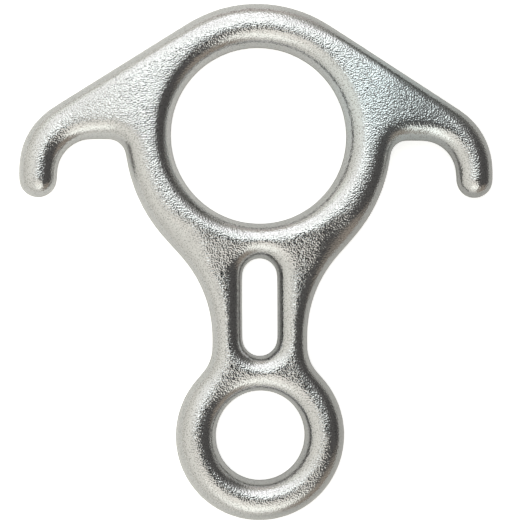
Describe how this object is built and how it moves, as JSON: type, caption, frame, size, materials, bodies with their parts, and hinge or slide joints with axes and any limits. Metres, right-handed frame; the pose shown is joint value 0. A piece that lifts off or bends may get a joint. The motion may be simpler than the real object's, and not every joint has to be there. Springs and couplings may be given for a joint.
{
  "type": "rescue figure eight descender",
  "caption": "One-piece forged rescue figure eight: large rope ring with two hooked ears, slotted neck and small karabiner eye, in bright plated steel.",
  "frame": {"origin": "under the middle of its length, on the plane it lies on", "axes": "+X across the ears, +Y from the small eye towards the large ring, +Z through the thickness"},
  "size_m": [0.1474, 0.16, 0.013],
  "materials": {
    "bright_steel": "forged alloy steel, tumbled and bright plated, grained on the flats and smoother on the rounded edges"
  },
  "bodies": {
    "root": {"forged_body": "bright_steel"}
  },
  "joints": []
}
